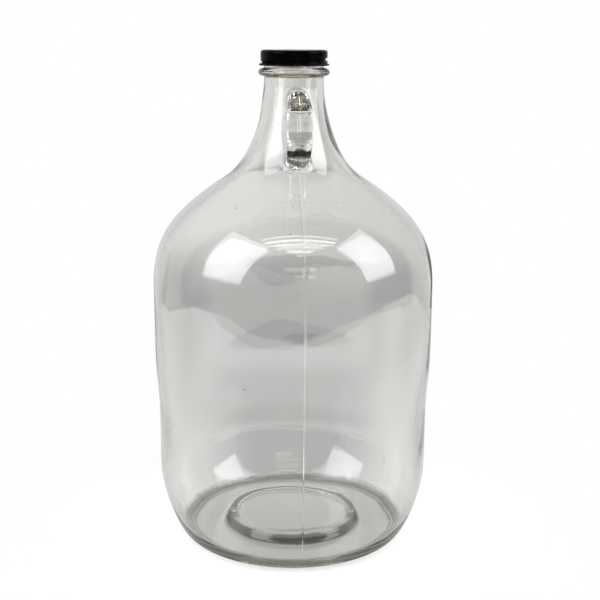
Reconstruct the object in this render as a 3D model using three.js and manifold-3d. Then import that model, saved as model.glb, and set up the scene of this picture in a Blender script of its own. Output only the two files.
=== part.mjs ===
// A one-gallon glass jug with a finger ring on its neck and a pressed metal screw cap.
// Millimetres, +Z up. The origin is the middle of the ring that the jug stands on, and the
// finger ring points along -Y. Outlines are drawn as (radius, height) and turned about Z.
import * as THREE from "three";
import { mergeVertices } from "three/addons/utils/BufferGeometryUtils.js";
import Module from "manifold-3d";

const wasm = await Module();
wasm.setup();

// Body of the jug
const OVERALL_HEIGHT = 293.4; // to the top of the screwed-down cap
const BAND_RADIUS = 83.9; // upper body, where jugs touch in a crate
const PANEL_RADIUS = 81.9; // label panel below the band
const HEEL_TOP = 44;
const PANEL_TOP = 72;
const BAND_BOTTOM = 122;
const SHOULDER_START = 154.7;
const BODY_WALL = 3;
const HEEL_FULLNESS = 0.38; // share of the heel's sides that its curve's handles take

// Shoulder and neck: the outline turns from convex to concave at the waist
const WAIST = new THREE.Vector2(40.5, 220);
const WAIST_SLOPE = THREE.MathUtils.degToRad(32.9);
const SHOULDER_HANDLES = [29.2, 40];
const NECK_HANDLES = [21, 15];
const NECK_RADIUS = 17.4;
const NECK_TOP = 277;
const NECK_WALL = 4.2;

// Base: a flat ring to stand on, and a stepped push-up inside it
const STAND_RING = [61.5, 65]; // inner and outer radius
const PUSH_UP_RADIUS = 33.3;
const PUSH_UP_HEIGHT = 7.5;
const PUSH_UP_STEP = 7.5; // radial width of the step
const RECESS_HEIGHT = 1; // underside at the foot of the step, from where it slopes to the stand ring
const FLOOR_STEP_IN = 36.1; // inside radius of the same step, seen from above
const FLOOR_HEIGHTS = [3.8, 10.8]; // inside, round the push-up and on top of it
const FLOOR_RADIUS = 63; // where the floor starts to turn up into the wall
const FLOOR_FULLNESS = 0.44;

// Cap and the two discs of its liner, from the top down to the jug's lip
const CAP_SHEET = 0.3;
const CAP_RADIUS = 19.5;
const CAP_SKIRT = 9;
const CAP_CORNER = 1.7;
const CURL_RADIUS = 0.65; // rolled bottom edge
const LINER_RADIUS = 17.7;
const BACKING_THICKNESS = 1;
const FACING_THICKNESS = 0.15;
const SEAT_GAP = 0.05;
const BACKING_BOTTOM = OVERALL_HEIGHT - CAP_SHEET - SEAT_GAP - BACKING_THICKNESS;
const FACING_BOTTOM = BACKING_BOTTOM - SEAT_GAP - FACING_THICKNESS;
const LIP_HEIGHT = FACING_BOTTOM - SEAT_GAP;

// Finish: what the cap screws onto, with a bead to lift the jug by under it
const LIP_ROUND = 0.8;
const BORE_RADIUS = 12.9;
const BEAD_RADIUS = 20.8;
const BEAD_HEIGHTS = [278.4, 283.2];

// Screw: one right-hand start. A thread's front is the height of its middle at the front of the
// jug, its turns are counted from there, and the cap's is pressed inwards under the glass one.
const PITCH = 25.4 / 6;
const RUN_OUT = 0.12; // turns over which a thread dies away at each end
const GLASS_THREAD = { front: 288.4, turns: [-0.76, 0.25], halfWidth: 1.5, height: 1.2 };
const CAP_THREAD = { front: 287, turns: [-0.4, 0.75], halfWidth: 1.3, height: -1.2 };
const FRONT = -Math.PI / 2;

// Finger ring: a thick glass bar of rounded square section, in the plane of the mould's parting line
const RING_WIDTH = 14;
const RING_THICKNESS = 8;
const RING_SQUARENESS = 4; // 2 would be an oval, more comes closer to a rectangle
const RING_REACH = 43.5; // from the jug's axis to the middle of the upright bar
const RING_MIDDLE = 254.2;
const RING_TOP_JOIN = new THREE.Vector2(15.6, 266.75);
const RING_LOW_JOIN = new THREE.Vector2(28.7, 231.4);
const RING_LOW_SLOPE = THREE.MathUtils.degToRad(36.4);
const RING_TOP_HANDLES = [17.4, 13.4]; // at the neck, and at the bar
const RING_LOW_HANDLES = [12.2, 12.8]; // at the bar, and at the shoulder

// Fineness: sides of the turned pieces, and pieces to a curve of an outline
const JUG_SIDES = 40;
const CAP_SIDES = 40;
const LONG_CURVE = 7;
const SHORT_CURVE = 4;
const RING_SIDES = 16;
const RING_STEPS = 22;
const THREADED_ROWS = 10;

const glass = new THREE.MeshStandardMaterial({
  color: 0xe4e8e5,
  roughness: 0.04,
  metalness: 0,
  transparent: true,
  opacity: 0.35,
});
const blackEnamel = new THREE.MeshStandardMaterial({ color: 0x08080a, roughness: 0.22, metalness: 0.1 });
const pulpboard = new THREE.MeshStandardMaterial({ color: 0xb89b72, roughness: 0.9, metalness: 0 });
const facingFilm = new THREE.MeshStandardMaterial({ color: 0xe9e6dc, roughness: 0.35, metalness: 0 });

const point = (radius, height) => new THREE.Vector2(radius, height);

// The point a distance away from another, at an angle measured from the outward radius.
function away(from, angle, distance) {
  return point(from.x + distance * Math.cos(angle), from.y + distance * Math.sin(angle));
}

const line = (pieces, from, to) => new THREE.LineCurve(from, to).getPoints(pieces);
const curve = (pieces, ...handles) => new THREE.CubicBezierCurve(...handles).getPoints(pieces);

// A round stretch of an outline, from one angle to another about a centre.
function arc(pieces, centre, radii, from, to) {
  return new THREE.EllipseCurve(centre.x, centre.y, ...radii, from, to, to < from).getPoints(pieces);
}

// Turns a (radius, height) outline about Z.
function turned(outline, sides) {
  return new THREE.LatheGeometry(outline, sides).rotateX(Math.PI / 2);
}

// How far a thread stands out at an angle and a height, rounded across and dying away at its ends.
function ridgeHeight(thread, angle, height) {
  const [first, last] = thread.turns;
  const fromFront = (angle - FRONT) / (2 * Math.PI);
  const shares = [fromFront - 1, fromFront].map((turn) => {
    const across = Math.abs(height - thread.front - PITCH * turn) / thread.halfWidth;
    const along = THREE.MathUtils.smoothstep(Math.min(turn - first, last - turn), 0, RUN_OUT);
    return along * Math.cos((Math.min(across, 1) * Math.PI) / 2) ** 2;
  });
  return thread.height * Math.max(...shares);
}

// Winds a thread round a turned piece, by moving its vertices that lie beyond a radius and
// between two heights. The thread also dies away over a short height above the lower one.
function threaded(geometry, thread, beyond, [low, high]) {
  const place = geometry.attributes.position;
  for (let i = 0; i < place.count; i++) {
    const [x, y, z] = [place.getX(i), place.getY(i), place.getZ(i)];
    const radius = Math.hypot(x, y);
    if (radius < beyond || z > high) continue;
    const clear = THREE.MathUtils.smoothstep(z, low, low + CURL_RADIUS);
    const scale = 1 + (clear * ridgeHeight(thread, Math.atan2(y, x), z)) / radius;
    place.setXY(i, x * scale, y * scale);
  }
  return geometry;
}

function solidOf(geometry) {
  const bare = geometry.clone();
  bare.deleteAttribute("normal");
  bare.deleteAttribute("uv");
  const merged = mergeVertices(bare, 1e-3);
  return new wasm.Manifold(
    new wasm.Mesh({
      numProp: 3,
      vertProperties: merged.attributes.position.array,
      triVerts: new Uint32Array(merged.index.array),
    }),
  );
}

function geometryOf(solid) {
  const mesh = solid.getMesh();
  const made = new THREE.BufferGeometry();
  made.setAttribute("position", new THREE.BufferAttribute(new Float32Array(mesh.vertProperties), 3));
  made.setIndex(new THREE.BufferAttribute(new Uint32Array(mesh.triVerts), 1));
  made.computeVertexNormals();
  return made;
}

// Underside from the axis out to the heel's top.
function undersideOutline() {
  const stepOut = PUSH_UP_RADIUS + PUSH_UP_STEP;
  const [ringIn, ringOut] = STAND_RING;
  const heelReach = PANEL_RADIUS - ringOut;
  return [
    point(0, PUSH_UP_HEIGHT),
    ...curve(
      SHORT_CURVE,
      point(PUSH_UP_RADIUS, PUSH_UP_HEIGHT),
      point(PUSH_UP_RADIUS + PUSH_UP_STEP / 2, PUSH_UP_HEIGHT),
      point(stepOut - PUSH_UP_STEP / 2, RECESS_HEIGHT),
      point(stepOut, RECESS_HEIGHT),
    ),
    point(ringIn, 0),
    ...curve(
      LONG_CURVE,
      point(ringOut, 0),
      point(ringOut + HEEL_FULLNESS * heelReach, 0),
      point(PANEL_RADIUS, HEEL_TOP * (1 - HEEL_FULLNESS)),
      point(PANEL_RADIUS, HEEL_TOP),
    ).slice(0, -1),
  ];
}

// Side of the jug from the top of the heel to the top of the neck, moved inwards by an inset
// that grows from the body's to the neck's. The inside has fewer pieces to its curves.
function sideOutline(bodyInset, neckInset, longCurve, shortCurve) {
  const panel = PANEL_RADIUS - bodyInset;
  const band = BAND_RADIUS - bodyInset;
  const neck = NECK_RADIUS - neckInset;
  const uphill = Math.PI - WAIST_SLOPE;
  const waist = away(WAIST, uphill + Math.PI / 2, (bodyInset + neckInset) / 2);
  const blend = (BAND_BOTTOM - PANEL_TOP) / 2;
  return [
    point(panel, HEEL_TOP),
    ...curve(
      shortCurve,
      point(panel, PANEL_TOP),
      point(panel, PANEL_TOP + blend),
      point(band, BAND_BOTTOM - blend),
      point(band, BAND_BOTTOM),
    ),
    ...curve(
      longCurve,
      point(band, SHOULDER_START),
      point(band, SHOULDER_START + SHOULDER_HANDLES[0]),
      away(waist, uphill, -SHOULDER_HANDLES[1]),
      waist,
    ),
    ...curve(
      longCurve,
      waist,
      away(waist, uphill, NECK_HANDLES[0]),
      point(neck, NECK_TOP - NECK_HANDLES[1]),
      point(neck, NECK_TOP),
    ).slice(1),
  ];
}

// Transfer bead, the stretch that carries the thread, and the rounded lip, ending at the bore.
function finishOutline() {
  const [beadLow, beadHigh] = BEAD_HEIGHTS;
  const bead = point(NECK_RADIUS, (beadLow + beadHigh) / 2);
  const beadRadii = [BEAD_RADIUS - NECK_RADIUS, (beadHigh - beadLow) / 2];
  const lipRadii = [LIP_ROUND, LIP_ROUND];
  const outerLip = point(NECK_RADIUS - LIP_ROUND, LIP_HEIGHT - LIP_ROUND);
  const innerLip = point(BORE_RADIUS + LIP_ROUND, LIP_HEIGHT - LIP_ROUND);
  return [
    ...arc(LONG_CURVE, bead, beadRadii, -Math.PI / 2, Math.PI / 2),
    ...line(THREADED_ROWS, point(NECK_RADIUS, beadHigh), point(NECK_RADIUS, outerLip.y)).slice(1, -1),
    ...arc(SHORT_CURVE, outerLip, lipRadii, 0, Math.PI / 2),
    ...arc(SHORT_CURVE, innerLip, lipRadii, Math.PI / 2, Math.PI),
    point(BORE_RADIUS, beadLow),
  ];
}

// Inside of the base, from the wall in to the axis: a floor, and the step up onto the push-up.
function floorOutline() {
  const wall = PANEL_RADIUS - BODY_WALL;
  const [floor, plateau] = FLOOR_HEIGHTS;
  const stepOut = FLOOR_STEP_IN + PUSH_UP_STEP;
  const reach = wall - FLOOR_RADIUS;
  return [
    ...curve(
      LONG_CURVE,
      point(wall, HEEL_TOP),
      point(wall, HEEL_TOP - FLOOR_FULLNESS * (HEEL_TOP - floor)),
      point(FLOOR_RADIUS + FLOOR_FULLNESS * reach, floor),
      point(FLOOR_RADIUS, floor),
    ).slice(1),
    ...curve(
      SHORT_CURVE,
      point(stepOut, floor),
      point(stepOut - PUSH_UP_STEP / 2, floor),
      point(FLOOR_STEP_IN + PUSH_UP_STEP / 2, plateau),
      point(FLOOR_STEP_IN, plateau),
    ),
    point(0, plateau),
  ];
}

// One corner of the finger ring's section. The corners keep off the ring's own plane.
function ringCorner(index) {
  const angle = ((index + 0.5) * 2 * Math.PI) / RING_SIDES;
  const across = Math.abs((2 * Math.cos(angle)) / RING_WIDTH) ** RING_SQUARENESS;
  const through = Math.abs((2 * Math.sin(angle)) / RING_THICKNESS) ** RING_SQUARENESS;
  return away(point(0, 0), angle, (across + through) ** (-1 / RING_SQUARENESS));
}

// Finger ring: its section carried out of the neck, down, and back into the shoulder.
function fingerRing() {
  const place = (p) => new THREE.Vector3(0, -p.x, p.y);
  const stretch = (...handles) => new THREE.CubicBezierCurve3(...handles.map(place));
  const [leaveNeck, reachBar] = RING_TOP_HANDLES;
  const [leaveBar, reachShoulder] = RING_LOW_HANDLES;
  const bar = point(RING_REACH, RING_MIDDLE);
  const topHandle = away(RING_TOP_JOIN, 0, leaveNeck);
  const lowHandle = away(RING_LOW_JOIN, RING_LOW_SLOPE, reachShoulder);
  const path = new THREE.CurvePath();
  path.add(stretch(RING_TOP_JOIN, topHandle, point(RING_REACH, RING_MIDDLE + reachBar), bar));
  path.add(stretch(bar, point(RING_REACH, RING_MIDDLE - leaveBar), lowHandle, RING_LOW_JOIN));
  const section = new THREE.Shape(Array.from({ length: RING_SIDES }, (_, i) => ringCorner(i)));
  return new THREE.ExtrudeGeometry(section, { steps: RING_STEPS, extrudePath: path });
}

function jugGeometry() {
  const outline = [
    ...undersideOutline(),
    ...sideOutline(0, 0, LONG_CURVE, SHORT_CURVE),
    ...finishOutline(),
    ...sideOutline(BODY_WALL, NECK_WALL, LONG_CURVE - 2, SHORT_CURVE - 2).reverse(),
    ...floorOutline(),
  ];
  const middleOfWall = (BORE_RADIUS + NECK_RADIUS) / 2;
  const threadStretch = [BEAD_HEIGHTS[1], LIP_HEIGHT - LIP_ROUND];
  const blown = threaded(turned(outline, JUG_SIDES), GLASS_THREAD, middleOfWall, threadStretch);
  return geometryOf(solidOf(blown).add(solidOf(fingerRing())));
}

// Cap shell: a drawn sheet cup with a rolled bottom edge, its skirt pressed in by the thread.
function capGeometry() {
  const top = OVERALL_HEIGHT;
  const bottom = top - CAP_SKIRT;
  const inside = CAP_RADIUS - CAP_SHEET;
  const corner = point(CAP_RADIUS - CAP_CORNER, top - CAP_CORNER);
  const cornerRadii = (radius) => [radius, radius];
  const curl = point(inside + CURL_RADIUS, bottom + CURL_RADIUS);
  const skirtLow = bottom + 2 * CURL_RADIUS;
  const skirt = (radius) => line(THREADED_ROWS, point(radius, corner.y), point(radius, skirtLow));
  const outline = [
    point(0, top),
    ...arc(SHORT_CURVE, corner, cornerRadii(CAP_CORNER), Math.PI / 2, 0).slice(0, -1),
    ...skirt(CAP_RADIUS),
    ...arc(LONG_CURVE, curl, cornerRadii(CURL_RADIUS), Math.PI / 3, -Math.PI),
    ...skirt(inside).reverse(),
    ...arc(SHORT_CURVE, corner, cornerRadii(CAP_CORNER - CAP_SHEET), 0, Math.PI / 2).slice(1),
    point(0, top - CAP_SHEET),
  ];
  const shell = turned(outline.reverse(), CAP_SIDES);
  return threaded(shell, CAP_THREAD, inside - SEAT_GAP, [skirtLow, corner.y]);
}

// A flat disc of the liner, standing on a height.
function discGeometry(bottom, thickness) {
  const top = bottom + thickness;
  const outline = [point(0, bottom), point(LINER_RADIUS, bottom), point(LINER_RADIUS, top), point(0, top)];
  return turned(outline, JUG_SIDES);
}

function part(name, geometry, material) {
  const mesh = new THREE.Mesh(geometry, material);
  mesh.name = name;
  return mesh;
}

const cap = new THREE.Group();
cap.add(
  part("cap_shell", capGeometry(), blackEnamel),
  part("liner_backing", discGeometry(BACKING_BOTTOM, BACKING_THICKNESS), pulpboard),
  part("liner_facing", discGeometry(FACING_BOTTOM, FACING_THICKNESS), facingFilm),
);
const jug = new THREE.Group();
jug.add(part("glass_jug", jugGeometry(), glass), cap);

export default jug;
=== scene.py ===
import bpy
import numpy as np
from mathutils import Matrix, Vector


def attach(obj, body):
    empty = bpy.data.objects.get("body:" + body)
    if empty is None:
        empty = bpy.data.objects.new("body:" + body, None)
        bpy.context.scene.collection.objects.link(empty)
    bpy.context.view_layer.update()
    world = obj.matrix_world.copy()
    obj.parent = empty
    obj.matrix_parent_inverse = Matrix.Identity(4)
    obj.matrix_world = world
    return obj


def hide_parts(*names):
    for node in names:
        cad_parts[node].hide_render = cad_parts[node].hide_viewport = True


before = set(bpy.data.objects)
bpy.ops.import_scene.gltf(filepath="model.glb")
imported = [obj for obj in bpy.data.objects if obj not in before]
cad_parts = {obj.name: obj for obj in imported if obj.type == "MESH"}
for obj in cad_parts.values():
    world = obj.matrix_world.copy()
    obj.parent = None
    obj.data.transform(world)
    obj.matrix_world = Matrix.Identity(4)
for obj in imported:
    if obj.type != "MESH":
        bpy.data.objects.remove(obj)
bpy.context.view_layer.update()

# Glass jug: one gather of clear flint glass, blown in a mould of two halves that meet at front and
# back, so body, neck, screw finish and lip are a single skin with a bead of glass along each meeting
# line. All its sizes are in millimetres until the mesh is made.
MM = 0.001
HEEL_TOP = 44.0
HEEL_PULL = 0.38
PANEL = 81.9, 72.0  # radius, and the height of its top
BAND = 83.9, 122.0, 154.7  # radius, lowest and highest point
WAIST = np.array([40.5, 220.0])
WAIST_SLOPE = np.radians(32.9)
NECK = 17.4, 277.0
WALL, WAIST_WALL, NECK_WALL = 3.0, 3.6, 4.2
STAND_RING = 61.5, 65.0  # inner and outer radius
PUSH_UP, PUSH_UP_FOOT = (33.0, 7.5), (41.0, 1.0)  # the step on the underside
FLOOR_TOP, FLOOR_FOOT = (36.2, 10.8), (43.5, 4.2)  # the same step on the inside
FLOOR_EDGE = 63.0, 3.6  # where the floor turns up into the heel
BORE, LIP, LIP_ROUND = 12.9, 291.8, 0.8
BEAD = 278.4, 283.2, 3.4  # lowest and highest point, and how far it stands out
PITCH = 25.4 / 6
THREAD_FRONT, THREAD_TURNS = 288.4, (-0.76, 0.25)  # height at the front, turns before and after it
THREAD_RISE, THREAD_HALF = 1.2, 1.5
RIBS, RIB_DEPTH = 140, 0.42


def bent(start, leave, arrive, end, steps):
    """Cubic curve, end left out: (1-t)^3 start + 3(1-t)^2 t leave + 3(1-t) t^2 arrive + t^3 end."""
    t = np.linspace(0, 1, steps, endpoint=False)[:, None]
    start, leave, arrive, end = map(np.asarray, (start, leave, arrive, end))
    return (1 - t) ** 3 * start + 3 * (1 - t) ** 2 * t * leave + 3 * (1 - t) * t**2 * arrive + t**3 * end


def straight(start, end, steps):
    """Even steps from start towards end, end left out: start + t (end - start)."""
    t = np.linspace(0, 1, steps, endpoint=False)[:, None]
    return np.asarray(start) + t * (np.asarray(end) - np.asarray(start))


def rounded(centre, radii, first, last, steps):
    """Arc of an ellipse between two angles in degrees, end left out: centre + radii (cos a, sin a)."""
    a = np.radians(np.linspace(first, last, steps, endpoint=False))
    return np.asarray(centre) + np.asarray(radii) * np.stack([np.cos(a), np.sin(a)], 1)


def side(inset, waist_inset, neck_inset, rows):
    """The side from heel top to neck top as (radius, height) rows, set in from the outer skin: a flat
    panel, an S up to the band, the band, then two cubic curves that share the waist's slope."""
    up = np.array([-np.cos(WAIST_SLOPE), np.sin(WAIST_SLOPE)])
    waist = WAIST - waist_inset * np.array([up[1], -up[0]])
    panel, band, neck = PANEL[0] - inset, BAND[0] - inset, NECK[0] - neck_inset
    middle = (PANEL[1] + BAND[1]) / 2
    return np.vstack([
        straight((panel, HEEL_TOP), (panel, PANEL[1]), rows[0]),
        bent((panel, PANEL[1]), (panel, middle), (band, middle), (band, BAND[1]), rows[1]),
        straight((band, BAND[1]), (band, BAND[2]), rows[2]),
        bent((band, BAND[2]), (band, BAND[2] + 29.2), waist - 40 * up, waist, rows[3]),
        bent(waist, waist + 21 * up, (neck, NECK[1] - 15), (neck, NECK[1]), rows[4]),
    ])


def jug_outline():
    """The jug's section as (radius, height) rows, from the middle of the underside out over the heel,
    up the outside, over the lip and down the inside to the middle of the floor; and the row where
    the inside starts."""
    bead_middle = (BEAD[0] + BEAD[1]) / 2
    heel_out = PANEL[0] - STAND_RING[1]
    inner_panel = PANEL[0] - WALL
    outside = [
        straight((3, PUSH_UP[1]), PUSH_UP, 7),
        bent(PUSH_UP, (PUSH_UP[0] + 5, PUSH_UP[1]), (PUSH_UP_FOOT[0] - 4.5, PUSH_UP_FOOT[1]),
             PUSH_UP_FOOT, 14),
        straight(PUSH_UP_FOOT, (STAND_RING[0], 0), 8),
        straight((STAND_RING[0], 0), (STAND_RING[1], 0), 5),
        bent((STAND_RING[1], 0), (STAND_RING[1] + HEEL_PULL * heel_out, 0),
             (PANEL[0], HEEL_TOP * (1 - HEEL_PULL)), (PANEL[0], HEEL_TOP), 28),
        side(0, 0, 0, (12, 9, 16, 34, 38)),
        straight(NECK, (NECK[0], BEAD[0]), 2),
        rounded((NECK[0], bead_middle), (BEAD[2], (BEAD[1] - BEAD[0]) / 2), -90, 90, 14),
        straight((NECK[0], BEAD[1]), (NECK[0], LIP - LIP_ROUND), 18),
        rounded((NECK[0] - LIP_ROUND, LIP - LIP_ROUND), (LIP_ROUND, LIP_ROUND), 0, 90, 4),
    ]
    inside = [
        rounded((BORE + LIP_ROUND, LIP - LIP_ROUND), (LIP_ROUND, LIP_ROUND), 90, 180, 4),
        straight((BORE, LIP - LIP_ROUND), (BORE, BEAD[0]), 5),
        side(WALL, WAIST_WALL, NECK_WALL, (9, 5, 10, 24, 20))[::-1],
        bent((inner_panel, HEEL_TOP), (inner_panel, HEEL_TOP - 16.7), (FLOOR_EDGE[0] + 7.5, FLOOR_EDGE[1]),
             FLOOR_EDGE, 24)[1:],
        straight(FLOOR_EDGE, FLOOR_FOOT, 6),
        bent(FLOOR_FOOT, (FLOOR_FOOT[0] - 3.7, FLOOR_FOOT[1] + 0.1), (FLOOR_TOP[0] + 5, FLOOR_TOP[1]),
             FLOOR_TOP, 14),
        straight(FLOOR_TOP, (1.5, FLOOR_TOP[1]), 7),
    ]
    return np.vstack(outside + inside), sum(map(len, outside))


def turning_angles(steps, offsets):
    """Angles round a full turn: even steps, and a few more close to a quarter and three quarters."""
    even = np.arange(steps) * 2 * np.pi / steps
    extra = np.concatenate([quarter + offsets for quarter in (np.pi / 2, 3 * np.pi / 2)])
    return np.unique(np.concatenate([even, extra]))


def wound(angle, height, front, turns, half_width):
    """How much a right-hand screw ridge stands up, 0 to 1: cos^2 across the ridge whose middle climbs
    one pitch a turn from the front, times a smooth run-in over an eighth of a turn at each end."""
    from_front = ((angle + np.pi / 2 + np.pi) % (2 * np.pi) - np.pi) / (2 * np.pi)
    rise = np.zeros(np.broadcast(angle, height).shape)
    for lap in (from_front - 1, from_front, from_front + 1):
        across = np.minimum(np.abs(height - front - PITCH * lap) / half_width, 1)
        run_in = gate(np.minimum(lap - turns[0], turns[1] - lap), 0, 0.12)
        rise = np.maximum(rise, run_in * np.cos(across * np.pi / 2) ** 2)
    return rise


def gate(value, low, high):
    """Smooth step from 0 at low to 1 at high: t^2 (3 - 2t)."""
    t = np.clip((value - low) / (high - low), 0, 1)
    return t * t * (3 - 2 * t)


def ripple(angle, height, seed, waves, lengths):
    """Slow unevenness of hand-warm glass, about -1 to 1: a sum of cosines with whole numbers of waves
    round the axis and given wave lengths up it, at fixed phases."""
    phase = np.random.default_rng(seed).uniform(0, 2 * np.pi, (len(waves), 2))
    parts = [np.cos(n * angle + p) * np.cos(2 * np.pi * height / w + q)
             for n, w, (p, q) in zip(waves, lengths, phase)]
    return sum(parts) / len(parts) ** 0.5


def turned(radius, angle, height):
    """Grid of points at a radius, angle and height: (radius cos angle, radius sin angle, height)."""
    return np.stack(np.broadcast_arrays(radius * np.cos(angle), radius * np.sin(angle), height), 2)


def closed_skin(name, grid, poles):
    """Piece made of a grid of (row, column) points in millimetres whose columns close on themselves,
    with a fan of triangles from the first row to the first pole and from the last row to the second."""
    rows, columns = grid.shape[:2]
    corner = np.arange(rows * columns).reshape(rows, columns)
    right = np.roll(corner, -1, 1)
    first, last = np.full(columns, rows * columns), np.full(columns, rows * columns + 1)
    faces = np.stack([corner[:-1], right[:-1], right[1:], corner[1:]], 2).reshape(-1, 4).tolist()
    faces += np.stack([right[0], corner[0], first], 1).tolist()
    faces += np.stack([corner[-1], right[-1], last], 1).tolist()
    points = np.vstack([grid.reshape(-1, 3), poles]) * MM
    mesh = bpy.data.meshes.new(name)
    mesh.from_pydata(points.tolist(), [], faces)
    mesh.shade_smooth()
    piece = bpy.data.objects.new(name, mesh)
    bpy.context.scene.collection.objects.link(piece)
    return piece


outline, inside_start = jug_outline()
angles = turning_angles(240, np.array([-0.75, -0.4, -0.2, 0.2, 0.4, 0.75]) / BAND[0])[None, :]
radius, height = outline[:, :1], outline[:, 1:]
outer = (np.arange(len(outline)) < inside_start)[:, None]

# the screw ridge on the finish
on_finish = outer & (height > BEAD[1]) & (height < LIP - LIP_ROUND + 0.01) & (radius > NECK[0] - 0.4)
ridge = THREAD_RISE * wound(angles, height, THREAD_FRONT, THREAD_TURNS, THREAD_HALF)
swell = on_finish * gate(height, BEAD[1], BEAD[1] + 0.65) * ridge
# the bead of glass along each meeting line of the mould, from the heel to the transfer bead
off_seam = np.abs(np.abs((angles % (2 * np.pi)) - np.pi) - np.pi / 2) * np.maximum(radius, 20)
seam_run = outer * gate(height, 3, 12) * (1 - gate(height, 272, 276))
seam_rise = np.where(angles > np.pi, 0.26, 0.08)
swell = swell + seam_run * seam_rise * np.exp(-((off_seam / 0.34) ** 2))
# the inside is blown, so the wall swells and thins in slow waves, with drawn streaks in the neck
blown = ~outer & (height < 272)
swell = swell + blown * gate(height, 14, 45) * 0.28 * ripple(
    angles, height, 4, (1, 2, 3, 5, 7, 4), (260, 170, 120, 95, 140, 61))
swell = swell + blown * gate(height, 200, 235) * (1 - gate(height, 262, 272)) * 0.12 * ripple(
    angles, height, 9, (4, 7, 11, 6), (900, 700, 800, 300))
# the mould's own surface is a little uneven too, most of all round the neck
swell = swell + outer * gate(height, 6, 30) * (1 - gate(height, 255, 270)) * 0.035 * ripple(
    angles, height, 2, (9, 14, 6, 11), (37, 52, 28, 71))
swell = swell + outer * gate(height, 205, 235) * (1 - gate(height, 268, 276)) * 0.20 * ripple(
    angles, height, 5, (3, 5, 7, 4), (31, 47, 38, 23))
# short radial ribs round the ring that it stands on
ribs_start = gate(radius, STAND_RING[0] - 0.9, STAND_RING[0] + 0.1)
ribs_end = gate(radius, STAND_RING[1] + 1.2, STAND_RING[1] + 2.6)
ribbed = outer * ribs_start * (1 - ribs_end) * (height < 6)
lift = ribbed * RIB_DEPTH * (0.5 + 0.5 * np.cos(RIBS * angles))

jug = closed_skin("glass_jug_skin", turned(radius + swell, angles, height + lift), [
    (0, 0, PUSH_UP[1]), (0, 0, FLOOR_TOP[1])])


# Finger ring: a thick loop of the same glass, pressed out of the neck's front in the same mould. Its
# section is a rounded square, flattest towards the hole, and it is melted into neck and shoulder.
RING_TOP, RING_BAR, RING_LOW = (15.6, 266.4), (43.5, 254.2), (28.7, 231.4)
RING_HALF_WIDTH, RING_HALF_THICK, RING_HALF_MEAN = 7.0, 4.0, 5.0


def ring_path(steps):
    """Middle line of the ring as (distance in front of the axis, height) rows: a cubic curve out of the
    neck and down to the front bar, and another from there down and back into the shoulder."""
    return np.vstack([
        bent(RING_TOP, (RING_TOP[0] + 17.4, RING_TOP[1]), (RING_BAR[0], RING_BAR[1] + 13.4), RING_BAR, steps),
        bent(RING_BAR, (RING_BAR[0], RING_BAR[1] - 12.2), (RING_LOW[0] + 10.3, RING_LOW[1] + 7.6),
             RING_LOW, steps),
        [RING_LOW],
    ])


def ring_section(around, half_wide, half_thick, squareness):
    """Distance from the middle line to the skin at an angle round it, 0 to one side and a quarter turn
    away from the hole: (|cos/half width|^n + |sin/half thickness|^n)^(-1/n), n more than 2 for a
    squarer shape."""
    across = np.abs(np.cos(around)) / half_wide
    through = np.abs(np.sin(around)) / half_thick
    return (across**squareness + through**squareness) ** (-1 / squareness)


def ring_grid(path, around):
    """Points of the ring's skin, one row for each point of its middle line. Thickness and squareness of
    the section change along the line, and differ towards the hole and away from it."""
    along = np.gradient(path, axis=0)
    along /= np.linalg.norm(along, axis=1)[:, None]
    outward = np.stack([-along[:, 1], along[:, 0]], 1)  # away from the hole
    share = np.linspace(0, 1, len(path))[:, None]
    hole_side = np.sin(around) < 0
    flat_hole = np.interp(share, (0, 0.56, 0.70, 1), (7.0, 7.0, 2.3, 2.1))
    flat_front = np.interp(share, (0, 0.30, 0.42, 0.60, 0.72, 1), (2.1, 2.2, 6.0, 6.0, 2.3, 2.1))
    to_hole = np.interp(share, (0, 0.32, 0.46, 0.55, 0.68, 1), (4.0, 4.0, 3.2, 3.2, 3.9, 4.4))
    from_hole = np.interp(share, (0, 0.35, 0.55, 0.72, 1), (5.0, 4.9, 3.6, 5.4, 6.8))
    half_wide = np.interp(share, (0, 0.25, 0.5), (5.3, 6.4, RING_HALF_WIDTH))
    half_thick = np.where(hole_side, to_hole, from_hole)
    reach = ring_section(around, half_wide, half_thick, np.where(hole_side, flat_hole, flat_front))
    seam_ridge = 0.25 * np.exp(-((reach * np.cos(around) / 0.42) ** 2)) * (np.sin(around) > 0)
    through = (reach + seam_ridge) * np.sin(around)
    return np.stack([
        reach * np.cos(around),
        -(path[:, :1] + through * outward[:, :1]),
        path[:, 1:] + through * outward[:, 1:],
    ], 2)


ring_line = ring_path(44)
ring_turn = turning_angles(64, np.array([-0.13, -0.07, -0.03, 0.03, 0.07, 0.13]))
ring = closed_skin("finger_ring", ring_grid(ring_line, ring_turn), [
    (0, -RING_TOP[0], RING_TOP[1]), (0, -RING_LOW[0], RING_LOW[1])])

joined = jug.modifiers.new("melted together", "BOOLEAN")
joined.operation, joined.object, joined.solver = "UNION", ring, "MANIFOLD"
whole = bpy.data.meshes.new_from_object(jug.evaluated_get(bpy.context.evaluated_depsgraph_get()))
jug.modifiers.clear()
jug.data = whole
whole.name = "glass_jug_skin"
bpy.data.objects.remove(ring)


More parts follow.
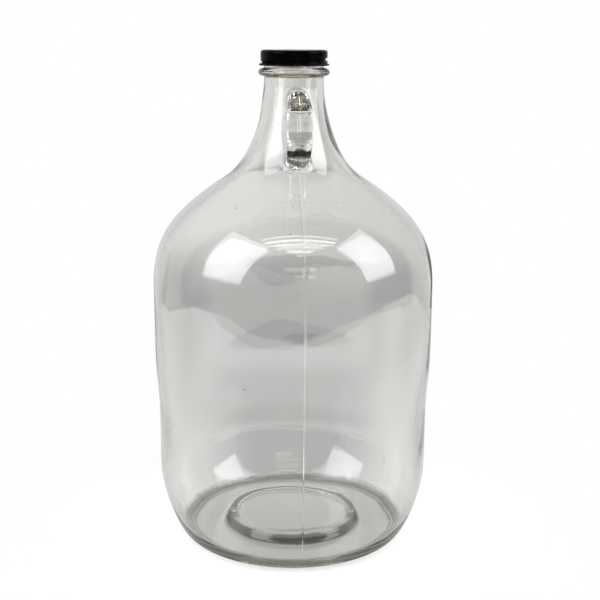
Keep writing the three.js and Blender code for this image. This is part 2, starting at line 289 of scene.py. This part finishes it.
def melt(mesh, skin, path, rounds, reach):
    """Rounds off the corner where the ring meets the skin: each vertex close to both surfaces moves
    towards the mean of its neighbours, in a number of rounds, less the farther it is from the corner."""
    place = np.empty(len(mesh.vertices) * 3)
    mesh.vertices.foreach_get("co", place)
    place = place.reshape(-1, 3) / MM
    ends = np.empty(len(mesh.edges) * 2, int)
    mesh.edges.foreach_get("vertices", ends)
    ends = ends.reshape(-1, 2)
    flat = np.stack([-place[:, 1], place[:, 2]], 1)
    nearest = np.min(np.linalg.norm(flat[:, None, :] - path[None, ::3], axis=2), axis=1)
    wide = np.hypot(nearest / RING_HALF_THICK, place[:, 0] / RING_HALF_WIDTH)
    from_ring = np.abs(wide - 1) * RING_HALF_MEAN
    from_skin = np.abs(np.hypot(place[:, 0], place[:, 1]) - np.interp(place[:, 2], *skin[:, ::-1].T))
    weight = np.exp(-((from_ring / reach) ** 2) - (from_skin / reach) ** 2) * (place[:, 1] < -8)
    near = weight > 0.03
    weight = np.where(near, weight, 0)[:, None]
    touching = ends[near[ends].any(1)]
    count = np.bincount(touching.ravel(), minlength=len(place))[:, None]
    for _ in range(rounds):
        total = np.zeros_like(place)
        np.add.at(total, touching[:, 0], place[touching[:, 1]])
        np.add.at(total, touching[:, 1], place[touching[:, 0]])
        place = place + weight * np.where(count > 0, total / np.maximum(count, 1) - place, 0)
    mesh.vertices.foreach_set("co", (place * MM).ravel())
    mesh.update()


outer_side = outline[:inside_start]
neck_side = outer_side[(outer_side[:, 1] > 200) & (outer_side[:, 1] < 276)]
melt(whole, neck_side, ring_line, 24, 2.6)
whole.shade_smooth()


class Wire:
    """A socket of a node tree. Arithmetic on it adds Math nodes; add() puts in any other node."""

    def __init__(self, tree, socket=None):
        self.tree, self.socket = tree, socket

    def add(self, kind, settings=None, sockets=None, out=0):
        """A node of this type: first its settings, then the value or link of each named socket."""
        node = self.tree.nodes.new("ShaderNode" + kind)
        for name, value in (settings or {}).items():
            setattr(node, name, value)
        for name, value in (sockets or {}).items():
            if isinstance(value, Wire):
                self.tree.links.new(value.socket, node.inputs[name])
            else:
                node.inputs[name].default_value = value
        return Wire(self.tree, node.outputs[out] if node.outputs else None)

    def math(self, operation, second=0.0):
        return self.add("Math", {"operation": operation}, {0: self, 1: second})

    def __add__(self, other):
        return self.math("ADD", other)

    def __sub__(self, other):
        return self.math("SUBTRACT", other)

    def __rsub__(self, other):
        return self.add("Math", {"operation": "SUBTRACT"}, {0: other, 1: self})

    def __mul__(self, other):
        return self.math("MULTIPLY", other)

    def __truediv__(self, other):
        return self.math("DIVIDE", other)

    def __gt__(self, other):
        return self.math("GREATER_THAN", other)

    def __lt__(self, other):
        return self.math("LESS_THAN", other)

    def __neg__(self):
        return self * -1

    def __abs__(self):
        return self.math("ABSOLUTE")

    __radd__, __rmul__ = __add__, __mul__

    def output(self, name):
        """Another output of the node that this wire comes from."""
        return Wire(self.tree, self.socket.node.outputs[name])

    def parts(self):
        """The three numbers of this vector."""
        split = self.add("SeparateXYZ", sockets={0: self})
        return [split.output(name) for name in "XYZ"]

    def off_axis(self):
        """Distance of this place from the upright axis: the length of (x, y, 0)."""
        level = self.add("VectorMath", {"operation": "MULTIPLY"}, {0: self, 1: (1, 1, 0)})
        return level.length()

    def length(self):
        """Length of this vector."""
        return self.add("VectorMath", {"operation": "LENGTH"}, {0: self}, "Value")

    def noise(self, scale, detail, roughness=0.5):
        """Cloudy noise at this place, about 0 to 1, with so many clouds a metre."""
        return self.add("TexNoise", sockets={
            "Vector": self, "Scale": scale, "Detail": detail, "Roughness": roughness})

    def step(self, low, high):
        """Smooth step of this value from 0 at low to 1 at high."""
        return self.add("MapRange", {"interpolation_type": "SMOOTHSTEP"},
                        {"Value": self, "From Min": low, "From Max": high})

    def between(self, rise, fall):
        """1 between two smooth steps, up over the first pair of values and down over the second."""
        return self.step(*rise) * (1 - self.step(*fall))

    def mix(self, first, second):
        """Colour first where this value is 0 and second where it is 1."""
        return self.add("Mix", {"data_type": "RGBA"}, {"Factor": self, "A": first, "B": second}, 2)


def new_finish(name):
    """An empty material, and the wire that carries each point's place on its piece, in metres."""
    material = bpy.data.materials.new(name)
    material.use_nodes = True
    material.node_tree.nodes.clear()
    return material, Wire(material.node_tree).add("TexCoord", out="Object")


def flint_glass():
    """Clear glass: smooth where it is clean, hazed in patches by handling, by rubbing round the widest
    part and in the drawn neck; painted shade darkens the ribs, a ragged band up the heel with a line
    round it and the step of the floor; a few dark specks; a trace of olive through its thickness."""
    material, place = new_finish("flint_glass")
    x, y, up = place.parts()
    front = -y
    from_axis = place.off_axis()
    smudge = place.noise(26.0, 4.0, 0.6)
    scuff = place.noise(900.0, 2.0)
    peel = place.noise(70.0, 2.0)
    ragged = scuff - 0.5

    on_band = up.between((0.120, 0.130), (0.150, 0.160))
    on_neck = up.between((0.205, 0.235), (0.272, 0.277))
    on_ring = (front > 0.0345 - (up - 0.227) * 0.45) * (front > 0.0200) * (up > 0.2245)
    # the ribs of the stand ring: hazed by wear, and coloured dark as painted shade further down
    rib_edge = from_axis + (y.math("ARCTAN2", x) * RIBS).math("SINE") * 0.0006 + ragged * 0.006
    ribs = rib_edge.between((0.0602, 0.0608), (0.0622, 0.0632)) * (1 - up.step(0.0010, 0.0020))
    haze = smudge.step(0.52, 0.78) * 0.02 + on_band * scuff.step(0.6, 0.75) * 0.03 + ribs * 0.35
    haze = haze + on_neck * (1 - on_ring) * (smudge * 0.06 + 0.03)

    # painted shade: the step of the floor, a ragged band up the heel and a line round it are darkened
    step_shade = from_axis.between((0.0365, 0.0378), (0.0428, 0.0440)) * up.between(
        (0.0042, 0.0052), (0.0090, 0.0104))
    heel_shade = (from_axis > 0.0635) * (1 - (up + ragged * 0.006).step(0.0026, 0.0048))
    plate_line_shade = (from_axis > 0.066) * up.between((0.0036, 0.0042), (0.0048, 0.0054))
    speck = place.add("TexVoronoi", sockets={"Vector": place, "Scale": 45.0}) + ragged * 0.05
    # colour: painted shade on the step, the heel band, the ribs and the heel line, then a few dark specks
    colour = (step_shade * 0.92).mix((1, 1, 1, 1), (0.012, 0.012, 0.010, 1))
    colour = (heel_shade * 0.95).mix(colour, (0.15, 0.145, 0.115, 1))
    colour = (ribs * 0.95 + plate_line_shade * scuff.step(0.35, 0.6) * 0.5).mix(colour, (0.02, 0.02, 0.018, 1))
    colour = ((1 - speck.step(0.018, 0.038)) * 0.7).mix(colour, (0.10, 0.09, 0.07, 1))

    bump = place.add("Bump", sockets={"Strength": 0.04, "Distance": 0.001, "Height": peel})
    glass = place.add("BsdfPrincipled", sockets={
        "Base Color": colour, "Roughness": haze, "Normal": bump, "IOR": 1.52, "Transmission Weight": 1.0})
    for_lamps = place.add("BsdfTransparent", sockets={"Color": (0.93, 0.93, 0.93, 1)})
    shadow = place.add("LightPath").output("Is Shadow Ray")
    surface = place.add("MixShader", sockets={0: shadow, 1: glass, 2: for_lamps})
    tint = place.add("VolumeAbsorption", sockets={"Color": (0.770, 0.780, 0.690, 1), "Density": 22.0})
    place.add("OutputMaterial", sockets={"Surface": surface, "Volume": tint})
    return material


jug.data.materials.clear()
jug.data.materials.append(flint_glass())
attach(jug, "jug")
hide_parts("glass_jug")


# Liner: a disc of pressed wood pulp with a coated paper facing glued under it. It lies loose in the
# top of the cap, and the jug's lip has pressed a shallow ring into the facing.
LINER_RADIUS = 17.7
LIP_MIDDLE = 15.1
FACING_LOW, FACING_THICK, FACING_DENT = 291.85, 0.15, 0.05
PULP_LOW, PULP_THICK = 292.05, 1.0


def disc(name, low, thickness, dent):
    """A round disc turned from its section, with soft rims; dent moves its lower face up where the
    lip presses, by a bell curve of the radius."""
    soft = min(thickness * 0.4, 0.3)
    rim, top = LINER_RADIUS - soft, low + thickness
    section = np.vstack([
        straight((0.6, low), (rim, low), 30),
        rounded((rim, low + soft), (soft, soft), -90, 0, 4),
        rounded((rim, top - soft), (soft, soft), 0, 90, 4),
        straight((rim, top), (0.5, top), 12),
    ])
    radius, height = section[:, :1], section[:, 1:]
    pressed = dent * np.exp(-(((radius - LIP_MIDDLE) / 1.1) ** 2)) * (height < low + thickness / 2)
    angle = np.arange(96) * 2 * np.pi / 96
    return closed_skin(name, turned(radius, angle, np.minimum(height + pressed, top)), [
        (0, 0, low), (0, 0, top)])


def pulpboard():
    """Grey-brown pressed pulp: fibres of two shades and flecks, matt."""
    material, place = new_finish("pulpboard")
    fibre = place.noise(900.0, 6.0, 0.7)
    fleck = place.add("TexVoronoi", sockets={"Vector": place, "Scale": 700.0})
    shade = fibre.step(0.3, 0.7).mix((0.36, 0.25, 0.15, 1), (0.60, 0.46, 0.30, 1))
    colour = (1 - fleck.step(0.05, 0.25)).mix(shade, (0.20, 0.13, 0.08, 1))
    bump = place.add("Bump", sockets={"Strength": 0.5, "Distance": 0.0002, "Height": fibre})
    board = place.add("BsdfPrincipled", sockets={
        "Base Color": colour, "Roughness": fibre * 0.1 + 0.85, "Normal": bump})
    place.add("OutputMaterial", sockets={"Surface": board})
    return material


def facing_film():
    """Cream coated paper, satin, a little yellowed in patches and greyed in the ring the lip pressed."""
    material, place = new_finish("facing_film")
    age = place.noise(110.0, 3.0)
    pressed = place.off_axis().between((0.0138, 0.0146), (0.0158, 0.0166))
    paper = age.step(0.35, 0.7).mix((0.78, 0.75, 0.66, 1), (0.70, 0.62, 0.46, 1))
    colour = (pressed * 0.5).mix(paper, (0.50, 0.48, 0.42, 1))
    film = place.add("BsdfPrincipled", sockets={
        "Base Color": colour, "Roughness": age * 0.2 + 0.3, "IOR": 1.46})
    place.add("OutputMaterial", sockets={"Surface": film})
    return material


backing = disc("liner_pulp_disc", PULP_LOW, PULP_THICK, 0.0)
backing.data.materials.append(pulpboard())
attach(backing, "liner")
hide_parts("liner_backing")
facing = disc("liner_facing_disc", FACING_LOW, FACING_THICK, FACING_DENT)
facing.data.materials.append(facing_film())
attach(facing, "liner")
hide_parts("liner_facing")


# Cap shell: a cup drawn from 0.3 mm tin plate, black enamel outside and gold lacquer inside, with the
# screw thread rolled into its skirt and the bottom edge curled outwards.
CAP_TOP, CAP_RADIUS, CAP_SHEET, CAP_CORNER = 293.4, 19.5, 0.3, 1.7
CURL = 0.65
CAP_LOW = CAP_TOP - 9.0
SKIRT_LOW = CAP_LOW + 2 * CURL
ROLL_FRONT, ROLL_TURNS = 287.0, (-0.4, 0.75)
ROLL_DEPTH, ROLL_HALF = 1.2, 1.3


def cap_outline():
    """The cap's section from the middle of the inside, out, down the skirt, round the curl, up the
    outside and back to the middle of the top; and the row where the outside starts."""
    inner = CAP_RADIUS - CAP_SHEET
    corner = CAP_RADIUS - CAP_CORNER, CAP_TOP - CAP_CORNER
    small, big = CAP_CORNER - CAP_SHEET, CAP_CORNER
    curl = inner + CURL, CAP_LOW + CURL
    inside = [
        straight((1, CAP_TOP - CAP_SHEET), (corner[0], CAP_TOP - CAP_SHEET), 8),
        rounded(corner, (small, small), 90, 0, 7),
        straight((inner, corner[1]), (inner, SKIRT_LOW), 26),
        rounded(curl, (CURL, CURL), 180, 270, 6),
    ]
    outside = [
        rounded(curl, (CURL, CURL), 270, 420, 10),
        straight((CAP_RADIUS, SKIRT_LOW), (CAP_RADIUS, corner[1]), 26),
        rounded(corner, (big, big), 0, 90, 9),
        straight((corner[0], CAP_TOP), (1, CAP_TOP), 9),
    ]
    return np.vstack(inside + outside), sum(map(len, inside))


cap_section, enamel_start = cap_outline()
cap_angles = np.arange(180) * 2 * np.pi / 180
cap_radius, cap_height = cap_section[:, :1], cap_section[:, 1:]
on_skirt = (cap_radius > CAP_RADIUS - CAP_SHEET - 0.05) & (cap_height < CAP_TOP - CAP_CORNER + 0.01)
groove = ROLL_DEPTH * wound(cap_angles[None, :], cap_height, ROLL_FRONT, ROLL_TURNS, ROLL_HALF)
rolled = on_skirt * gate(cap_height, SKIRT_LOW, SKIRT_LOW + CURL) * groove
cap = closed_skin("cap_shell_skin", turned(cap_radius - rolled, cap_angles, cap_height), [
    (0, 0, CAP_TOP - CAP_SHEET), (0, 0, CAP_TOP)])


def black_enamel():
    """Stoved black gloss: faint orange peel, dust-dulled patches, and bare rubbed tin with a trace of
    rust along the curled edge."""
    material, place = new_finish("black_enamel")
    up = place.parts()[2]
    dust = place.noise(140.0, 5.0, 0.65)
    chip = place.noise(520.0, 3.0)
    peel = place.noise(650.0, 1.0)
    low_edge = 1 - up.step(CAP_LOW * MM, (CAP_LOW + 0.7) * MM)
    bare = low_edge * chip.step(0.52, 0.60)
    rust = low_edge * dust.step(0.45, 0.6)
    enamel = dust.step(0.4, 0.8).mix((0.0015, 0.0015, 0.0018, 1), (0.0040, 0.0038, 0.0036, 1))
    rubbed = bare.mix(enamel, (0.30, 0.27, 0.22, 1))
    colour = (rust * 0.8).mix(rubbed, (0.20, 0.075, 0.02, 1))
    bump = place.add("Bump", sockets={"Strength": 0.06, "Distance": 0.0004, "Height": peel})
    paint = place.add("BsdfPrincipled", sockets={
        "Base Color": colour, "Roughness": dust.step(0.35, 0.75) * 0.10 + 0.06 + rust * 0.4,
        "Metallic": bare * (1 - rust), "Normal": bump, "IOR": 1.45, "Specular IOR Level": 0.04})
    place.add("OutputMaterial", sockets={"Surface": paint})
    return material


def gold_lacquer():
    """Clear gold lacquer over tin: a metal with a warm tint, cloudy in patches."""
    material, place = new_finish("gold_lacquer")
    cloud = place.noise(160.0, 4.0)
    colour = cloud.step(0.35, 0.7).mix((0.62, 0.40, 0.13, 1), (0.42, 0.22, 0.06, 1))
    lacquer = place.add("BsdfPrincipled", sockets={
        "Base Color": colour, "Metallic": 0.9, "Roughness": cloud * 0.25 + 0.15})
    place.add("OutputMaterial", sockets={"Surface": lacquer})
    return material


cap.data.materials.append(black_enamel())
cap.data.materials.append(gold_lacquer())
columns = len(cap_angles)
lacquered = np.zeros(len(cap.data.polygons), int)
lacquered[:(enamel_start - 1) * columns] = 1
inner_fan = (len(cap_section) - 1) * columns
lacquered[inner_fan:inner_fan + columns] = 1
cap.data.polygons.foreach_set("material_index", lacquered)
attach(cap, "cap")
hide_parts("cap_shell")


# Floor: the pale oval table top that the jug stands on, matt, with its soft shadow near the jug.
# Away from the jug it is plain white to the camera; glass shows a pale grey sweep, with painted shade.
TABLE_RADIUS = 640.0
TABLE_OVAL = 1.12, 0.90
BACKDROP = 0.72, 0.72, 0.71, 1.0  # through glass: the sweep, and a painted shadow in its middle behind the jug
IN_SHADE = 0.38, 0.38, 0.375, 1.0
UNDER_FRONT, UNDER_BACK = (0.05, 0.05, 0.045, 1.0), (0.42, 0.42, 0.385, 1.0)  # painted shade below the push-up
# painted shade under the jug out to the ring it stands on, and a painted contact shadow round that ring
UNDER_RIM = 0.41, 0.41, 0.375, 1.0
CONTACT_SHADOW = 0.40, 0.40, 0.37, 1.0
LIT_FRONT, LIT_NEAR = (1.9, 1.9, 1.88, 1.0), (0.6, 0.6, 0.59, 1.0)  # painted light of the table mirrored once, dimmer near the jug
LIT_BACK = 0.76, 0.76, 0.75, 1.0
DEEP = 0.20, 0.20, 0.195, 1.0  # dimmer, mirrored twice or more: painted shade


def table_top():
    """Matt white table near the jug, where its shadow falls, turning to plain white farther out for
    the camera. Seen through glass it is the grey of the backdrop with painted shade behind and under
    the jug; mirrored in glass or gloss it is painted light, the brightly lit table."""
    material, place = new_finish("table_top")
    ray = place.add("LightPath")
    reach = place.length()
    wide, deep, _ = place.parts()
    matt = place.add("BsdfDiffuse", sockets={"Color": (0.92, 0.92, 0.92, 1)})
    white = place.add("Emission", sockets={"Color": (1, 1, 1, 1), "Strength": 1.0})
    to_camera = place.add("MixShader", sockets={0: reach.step(0.09, 0.20), 1: matt, 2: white})

    # painted shade that glass sees: a shadow lobe behind the jug, dark hollow and ring under it; painted
    # light where mirrored
    off_line = abs(wide - deep * 0.08) / (abs(deep) + 0.1)
    sweep = off_line.step(0.10, 0.42).mix(IN_SHADE, BACKDROP)
    in_front = reach.step(0.10, 0.34).mix(LIT_NEAR, LIT_FRONT)
    mirrored = deep.step(-0.16, 0.06).mix(in_front, LIT_BACK)
    lit = (ray.output("Glossy Depth") > 0.5).mix(sweep, mirrored)
    lit = (ray.output("Glossy Depth") > 1.5).mix(lit, DEEP)
    close = reach.step(0.067, 0.074).mix(CONTACT_SHADOW, lit)
    hollow = deep.step(-0.026, -0.012).mix(UNDER_FRONT, UNDER_BACK)
    under = reach.step(0.036, 0.041).mix(hollow, UNDER_RIM)
    shade = reach.step(0.056, 0.061).mix(under, close)
    to_glass = place.add("Emission", sockets={"Color": shade, "Strength": 1.0})

    by_glass = ray.output("Is Glossy Ray") + ray.output("Is Transmission Ray")
    both = place.add("MixShader", sockets={0: by_glass, 1: to_camera, 2: to_glass})
    place.add("OutputMaterial", sockets={"Surface": both})
    return material


table_angles = np.arange(96) * 2 * np.pi / 96
table_rings = np.array([0.5, 20, 40, 60, 70, 80, 100, 130, 180, 260, 380, 500, TABLE_RADIUS])[:, None]
spots = turned(table_rings, table_angles, 0 * table_rings) * np.array([*TABLE_OVAL, 1])
corner = np.arange(table_rings.size * 96).reshape(-1, 96)
right = np.roll(corner, -1, 1)
cells = np.stack([corner[:-1], corner[1:], right[1:], right[:-1]], 2).reshape(-1, 4).tolist()
floor_mesh = bpy.data.meshes.new("floor")
floor_mesh.from_pydata((spots.reshape(-1, 3) * MM).tolist(), [], cells + [corner[0].tolist()])
floor_mesh.materials.append(table_top())
floor = bpy.data.objects.new("floor", floor_mesh)
bpy.context.scene.collection.objects.link(floor)


# Light: two tall soft boxes, left and right of the camera, and a dim room in front of the table with
# slatted lamps in its ceiling; behind the table stands the pale backdrop.
LAMP_AIM = Vector((0, -0.06, 0.185))
LAMP_AWAY = 1.4
LAMP_RADIANCE = 4.4
SLATS = 5.0, 4.65, 4.25, 1.0


def soft_box(name, azimuth, elevation, width, tall):
    """A rectangular lamp that faces the jug's shoulder, by the direction in degrees that it is seen in
    and its width and height as seen from there; a little dimmer towards its edges."""
    a, e = np.radians(azimuth), np.radians(elevation)
    towards = Vector((np.sin(a) * np.cos(e), -np.cos(a) * np.cos(e), np.sin(e)))
    data = bpy.data.lights.new(name, "AREA")
    data.shape, data.size, data.size_y = "RECTANGLE", width * LAMP_AWAY, tall * LAMP_AWAY
    data.energy = LAMP_RADIANCE * np.pi * data.size * data.size_y
    data.use_nodes = True
    data.node_tree.nodes.clear()
    spot = Wire(data.node_tree).add("NewGeometry", out="Parametric")
    off = spot.add("VectorMath", {"operation": "DISTANCE"}, {0: spot, 1: (0.5, 0.5, 0)}, "Value")
    glow = spot.add("Emission", sockets={
        "Color": (0.965, 0.985, 1, 1), "Strength": 1.2 - off.step(0.0, 0.7) * 0.35})
    spot.add("OutputLight", sockets={"Surface": glow})
    lamp = bpy.data.objects.new(name, data)
    aim = towards.to_track_quat("Z", "Y").to_matrix().to_4x4()
    lamp.matrix_world = Matrix.Translation(LAMP_AIM + towards * LAMP_AWAY) @ aim
    lamp.visible_camera = False
    bpy.context.scene.collection.objects.link(lamp)


soft_box("soft_box_left", azimuth=-65.6, elevation=33.1, width=0.71, tall=0.96)
soft_box("soft_box_right", azimuth=72.4, elevation=30.6, width=0.60, tall=0.90)


def studio():
    """White to the camera; to glass and gloss the backdrop behind, the dim room in front and slatted
    lamps in its ceiling, by the direction of the ray; an even dim light to everything else."""
    world = bpy.data.worlds.new("studio")
    bpy.context.scene.world = world
    world.use_nodes = True
    world.node_tree.nodes.clear()
    direction = Wire(world.node_tree).add("TexCoord", out="Generated")
    ray = direction.add("LightPath")
    x, y, z = direction.parts()
    bearing = x.math("ARCTAN2", -y)
    aside = abs(bearing)

    # the ceiling as a flat plane, one unit up
    above = z.math("MAXIMUM", 0.05)
    across, ahead = x / above, -(y / above)
    bands = (ahead.math("LOGARITHM", 2.718) * 3.7).math("FRACT")
    half = (0.80 - ahead * 0.86).math("MINIMUM", 0.46)
    upper = (ahead > 0.26) * (ahead < 0.93) * (abs(across - 0.05) < half) * (bands > 0.45)
    near_bar = (ahead > 1.58) * (ahead < 1.95) * (abs(across - 0.06) < 0.40)
    far_bar = (ahead > 2.45) * (ahead < 3.05) * (abs(across - 0.23) < 0.41)

    # mirrored once: backdrop with a dark flag low on its right, walls and ceiling lamps
    flag = bearing.between((2.55, 2.60), (2.74, 2.79)) * (1 - z.step(-0.12, 0.0))
    low = (flag * 0.9).mix(LIT_BACK, (0.05, 0.05, 0.05, 1))
    behind = z.step(0.25, 0.75).mix(low, (0.95, 0.95, 0.94, 1))
    walls = aside.step(0.5, 1.5).mix((0.05, 0.05, 0.05, 1), (0.22, 0.22, 0.22, 1))
    room = (1 - aside.step(1.84, 1.91)).mix(behind, walls)
    lit = (upper + (near_bar + far_bar) * 0.35).mix(room, SLATS)

    # straight through: the sweep, shaded low down and a little darker on the right
    rise = ((z + 0.235) / 0.155).math("POWER", 0.6)
    backdrop = x.step(-0.05, 0.24).mix((0.77, 0.77, 0.76, 1), (0.60, 0.60, 0.59, 1))
    sweep = rise.step(0.0, 1.0).mix(IN_SHADE, backdrop)

    seen = (ray.output("Glossy Depth") > 0.5).mix(sweep, lit)
    seen = (ray.output("Glossy Depth") > 1.5).mix(seen, DEEP)
    by_glass = ray.output("Is Glossy Ray") + ray.output("Is Transmission Ray")
    others = by_glass.mix((0.3, 0.3, 0.3, 1), seen)
    colour = ray.output("Is Camera Ray").mix(others, (1, 1, 1, 1))
    light = direction.add("Background", sockets={"Color": colour, "Strength": 1.0})
    direction.add("OutputWorld", sockets={"Surface": light})


studio()


# Camera: a little above the cap's height and looking down, turned so that the jug stands left of the
# middle; the lens is worked out for a square picture.
SENSOR = 36.0
LENS_IN_WIDTHS = 1142 / 600
CAMERA_PLACE = -0.0530, -0.6734, 0.3056
camera_data = bpy.data.cameras.new("camera")
camera_data.sensor_width = SENSOR
camera_data.lens = LENS_IN_WIDTHS * SENSOR
camera = bpy.data.objects.new("camera", camera_data)
heading, pitch, roll = np.radians(-4.851), np.radians(13.4), np.radians(0.29)
looking = Matrix.Rotation(heading, 4, "Z") @ Matrix.Rotation(np.pi / 2 - pitch, 4, "X")
camera.matrix_world = Matrix.Translation(CAMERA_PLACE) @ looking @ Matrix.Rotation(roll, 4, "Z")
bpy.context.scene.collection.objects.link(camera)
scene = bpy.context.scene
scene.camera = camera
scene.view_settings.view_transform = "Standard"
scene.cycles.max_bounces = 32
scene.cycles.transmission_bounces = 32
scene.cycles.glossy_bounces = 12
